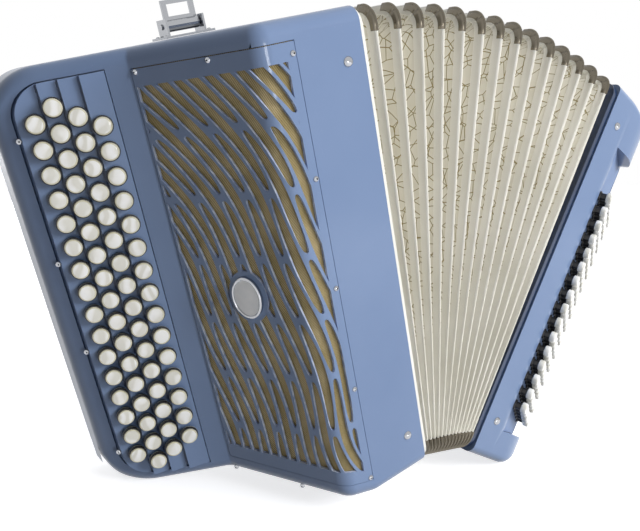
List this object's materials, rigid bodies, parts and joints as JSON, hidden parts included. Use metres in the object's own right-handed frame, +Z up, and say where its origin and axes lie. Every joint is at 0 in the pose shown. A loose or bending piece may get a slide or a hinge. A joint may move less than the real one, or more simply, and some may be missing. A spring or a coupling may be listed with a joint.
{
  "type": "button accordion",
  "caption": "Chromatic button accordion with a stepped button fingerboard, fretwork grille over gold mesh, fan-open pleated bellows and a slanted bass button board.",
  "frame": {"origin": "middle of the footprint, on the floor", "axes": "+X from the treble casing towards the bass casing, +Z up, the front of the instrument faces -Y"},
  "size_m": [0.5996, 0.1998, 0.41],
  "materials": {
    "blue_lacquer": "gloss blue lacquer over wood",
    "navy_lacquer": "satin navy lacquer",
    "bellows_card": "ivory paper and tape over card",
    "gold_mesh": "fine woven mesh",
    "badge_enamel": "gloss white",
    "pearl": "mother-of-pearl look",
    "chrome": "polished",
    "spruce": "planed",
    "black_leather": "padded black leather"
  },
  "bodies": {
    "treble": {"treble_casing": "blue_lacquer", "front_grille": "blue_lacquer", "grille_mesh": "gold_mesh", "grille_badge": "badge_enamel", "fingerboard": "blue_lacquer", "treble_soundboard": "spruce", "treble_reed_block_1": "spruce", "treble_reed_block_2": "spruce", "treble_reed_block_3": "spruce", "treble_bellows_frame": "bellows_card", "strap_bracket": "chrome", "strap_bracket_pin": "chrome", "treble_bellows_pin_foot": "chrome", "treble_bellows_pin_top": "chrome"},
    "bass": {"bass_casing": "blue_lacquer", "bass_button_board": "blue_lacquer", "bass_bellows_frame": "navy_lacquer", "bass_soundboard": "spruce", "bass_reed_block_1": "spruce", "bass_reed_block_2": "spruce", "hand_strap": "black_leather", "strap_anchor_foot": "chrome", "strap_anchor_top": "chrome", "bass_bellows_pin_foot": "chrome", "bass_bellows_pin_top": "chrome"},
    "treble_row_1": {"treble_button_row_1": "pearl"},
    "treble_row_2": {"treble_button_row_2": "pearl"},
    "treble_row_3": {"treble_button_row_3": "pearl"},
    "treble_row_4": {"treble_button_row_4": "pearl"},
    "bass_row_1": {"bass_button_row_1": "pearl"},
    "bass_row_2": {"bass_button_row_2": "pearl"},
    "bass_row_3": {"bass_button_row_3": "pearl"},
    "bass_row_4": {"bass_button_row_4": "pearl"},
    "bass_row_5": {"bass_button_row_5": "pearl"},
    "air_valve": {"air_button": "pearl"},
    "strap_clip": {"strap_loop": "chrome"},
    "thumb_wheel": {"strap_thumb_wheel": "chrome"},
    "fold_01": {"bellows_fold_01": "bellows_card"},
    "fold_02": {"bellows_fold_02": "bellows_card"},
    "fold_03": {"bellows_fold_03": "bellows_card"},
    "fold_04": {"bellows_fold_04": "bellows_card"},
    "fold_05": {"bellows_fold_05": "bellows_card"},
    "fold_06": {"bellows_fold_06": "bellows_card"},
    "fold_07": {"bellows_fold_07": "bellows_card"},
    "fold_08": {"bellows_fold_08": "bellows_card"},
    "fold_09": {"bellows_fold_09": "bellows_card"},
    "fold_10": {"bellows_fold_10": "bellows_card"},
    "fold_11": {"bellows_fold_11": "bellows_card"},
    "fold_12": {"bellows_fold_12": "bellows_card"},
    "fold_13": {"bellows_fold_13": "bellows_card"},
    "fold_14": {"bellows_fold_14": "bellows_card"}
  },
  "joints": [
    {"name": "bellows_open", "type": "hinge", "parent": "treble", "child": "bass", "pos_m": [0.04428, -0.09013, 0.02723], "axis": [0, 1, 0], "range_deg": [-41.7, 20]},
    {"name": "bellows_turn_01", "type": "hinge", "parent": "treble", "child": "fold_01", "pos_m": [0.04428, -0.09013, 0.02723], "axis": [0, 1, 0], "range_deg": [-1.69, 0.91], "deforming": ["bellows_fold_01"]},
    {"name": "bellows_turn_02", "type": "hinge", "parent": "treble", "child": "fold_02", "pos_m": [0.04428, -0.09013, 0.02723], "axis": [0, 1, 0], "range_deg": [-4.67, 2.34], "deforming": ["bellows_fold_02"]},
    {"name": "bellows_turn_03", "type": "hinge", "parent": "treble", "child": "fold_03", "pos_m": [0.04428, -0.09013, 0.02723], "axis": [0, 1, 0], "range_deg": [-7.65, 3.77], "deforming": ["bellows_fold_03"]},
    {"name": "bellows_turn_04", "type": "hinge", "parent": "treble", "child": "fold_04", "pos_m": [0.04428, -0.09013, 0.02723], "axis": [0, 1, 0], "range_deg": [-10.62, 5.2], "deforming": ["bellows_fold_04"]},
    {"name": "bellows_turn_05", "type": "hinge", "parent": "treble", "child": "fold_05", "pos_m": [0.04428, -0.09013, 0.02723], "axis": [0, 1, 0], "range_deg": [-13.6, 6.63], "deforming": ["bellows_fold_05"]},
    {"name": "bellows_turn_06", "type": "hinge", "parent": "treble", "child": "fold_06", "pos_m": [0.04428, -0.09013, 0.02723], "axis": [0, 1, 0], "range_deg": [-16.58, 8.06], "deforming": ["bellows_fold_06"]},
    {"name": "bellows_turn_07", "type": "hinge", "parent": "treble", "child": "fold_07", "pos_m": [0.04428, -0.09013, 0.02723], "axis": [0, 1, 0], "range_deg": [-19.56, 9.49], "deforming": ["bellows_fold_07"]},
    {"name": "bellows_turn_08", "type": "hinge", "parent": "treble", "child": "fold_08", "pos_m": [0.04428, -0.09013, 0.02723], "axis": [0, 1, 0], "range_deg": [-22.54, 10.91], "deforming": ["bellows_fold_08"]},
    {"name": "bellows_turn_09", "type": "hinge", "parent": "treble", "child": "fold_09", "pos_m": [0.04428, -0.09013, 0.02723], "axis": [0, 1, 0], "range_deg": [-25.52, 12.34], "deforming": ["bellows_fold_09"]},
    {"name": "bellows_turn_10", "type": "hinge", "parent": "treble", "child": "fold_10", "pos_m": [0.04428, -0.09013, 0.02723], "axis": [0, 1, 0], "range_deg": [-28.5, 13.77], "deforming": ["bellows_fold_10"]},
    {"name": "bellows_turn_11", "type": "hinge", "parent": "treble", "child": "fold_11", "pos_m": [0.04428, -0.09013, 0.02723], "axis": [0, 1, 0], "range_deg": [-31.48, 15.2], "deforming": ["bellows_fold_11"]},
    {"name": "bellows_turn_12", "type": "hinge", "parent": "treble", "child": "fold_12", "pos_m": [0.04428, -0.09013, 0.02723], "axis": [0, 1, 0], "range_deg": [-34.45, 16.63], "deforming": ["bellows_fold_12"]},
    {"name": "bellows_turn_13", "type": "hinge", "parent": "treble", "child": "fold_13", "pos_m": [0.04428, -0.09013, 0.02723], "axis": [0, 1, 0], "range_deg": [-37.43, 18.06], "deforming": ["bellows_fold_13"]},
    {"name": "bellows_turn_14", "type": "hinge", "parent": "treble", "child": "fold_14", "pos_m": [0.04428, -0.09013, 0.02723], "axis": [0, 1, 0], "range_deg": [-40.41, 19.49], "deforming": ["bellows_fold_14"]},
    {"name": "treble_row_1_press", "type": "slide", "parent": "treble", "child": "treble_row_1", "axis": [0.2967, 0.9511, 0.0864], "range_m": [0, 0.0035], "stiffness_N_per_m": 400, "springref_m": -0.004},
    {"name": "treble_row_2_press", "type": "slide", "parent": "treble", "child": "treble_row_2", "axis": [0.2967, 0.9511, 0.0864], "range_m": [0, 0.0035], "stiffness_N_per_m": 400, "springref_m": -0.004},
    {"name": "treble_row_3_press", "type": "slide", "parent": "treble", "child": "treble_row_3", "axis": [0.2967, 0.9511, 0.0864], "range_m": [0, 0.0035], "stiffness_N_per_m": 400, "springref_m": -0.004},
    {"name": "treble_row_4_press", "type": "slide", "parent": "treble", "child": "treble_row_4", "axis": [0.2967, 0.9511, 0.0864], "range_m": [0, 0.0035], "stiffness_N_per_m": 400, "springref_m": -0.004},
    {"name": "bass_row_1_press", "type": "slide", "parent": "bass", "child": "bass_row_1", "axis": [-0.3958, 0.8988, 0.1884], "range_m": [0, 0.004], "stiffness_N_per_m": 400, "springref_m": -0.004},
    {"name": "bass_row_2_press", "type": "slide", "parent": "bass", "child": "bass_row_2", "axis": [-0.3958, 0.8988, 0.1884], "range_m": [0, 0.004], "stiffness_N_per_m": 400, "springref_m": -0.004},
    {"name": "bass_row_3_press", "type": "slide", "parent": "bass", "child": "bass_row_3", "axis": [-0.3958, 0.8988, 0.1884], "range_m": [0, 0.004], "stiffness_N_per_m": 400, "springref_m": -0.004},
    {"name": "bass_row_4_press", "type": "slide", "parent": "bass", "child": "bass_row_4", "axis": [-0.3958, 0.8988, 0.1884], "range_m": [0, 0.004], "stiffness_N_per_m": 400, "springref_m": -0.004},
    {"name": "bass_row_5_press", "type": "slide", "parent": "bass", "child": "bass_row_5", "axis": [-0.3958, 0.8988, 0.1884], "range_m": [0, 0.004], "stiffness_N_per_m": 400, "springref_m": -0.004},
    {"name": "air_valve_press", "type": "slide", "parent": "bass", "child": "air_valve", "axis": [-0.9029, 0, 0.4298], "range_m": [0, 0.005], "stiffness_N_per_m": 300, "springref_m": -0.004},
    {"name": "strap_clip_swing", "type": "hinge", "parent": "treble", "child": "strap_clip", "pos_m": [-0.17748, 0.00987, 0.38042], "axis": [0.9601, 0, 0.2797], "range_deg": [-80, 80]},
    {"name": "thumb_wheel_turn", "type": "hinge", "parent": "bass", "child": "thumb_wheel", "pos_m": [0.27475, 0.06387, 0.35202], "axis": [0, 1, 0], "continuous": true}
  ],
  "couplings": [
    {"joint": "bellows_turn_01", "follows": "bellows_open", "ratio": 0.035714},
    {"joint": "bellows_turn_02", "follows": "bellows_open", "ratio": 0.10714},
    {"joint": "bellows_turn_03", "follows": "bellows_open", "ratio": 0.17857},
    {"joint": "bellows_turn_04", "follows": "bellows_open", "ratio": 0.25},
    {"joint": "bellows_turn_05", "follows": "bellows_open", "ratio": 0.32143},
    {"joint": "bellows_turn_06", "follows": "bellows_open", "ratio": 0.39286},
    {"joint": "bellows_turn_07", "follows": "bellows_open", "ratio": 0.46429},
    {"joint": "bellows_turn_08", "follows": "bellows_open", "ratio": 0.53571},
    {"joint": "bellows_turn_09", "follows": "bellows_open", "ratio": 0.60714},
    {"joint": "bellows_turn_10", "follows": "bellows_open", "ratio": 0.67857},
    {"joint": "bellows_turn_11", "follows": "bellows_open", "ratio": 0.75},
    {"joint": "bellows_turn_12", "follows": "bellows_open", "ratio": 0.82143},
    {"joint": "bellows_turn_13", "follows": "bellows_open", "ratio": 0.89286},
    {"joint": "bellows_turn_14", "follows": "bellows_open", "ratio": 0.96429}
  ]
}
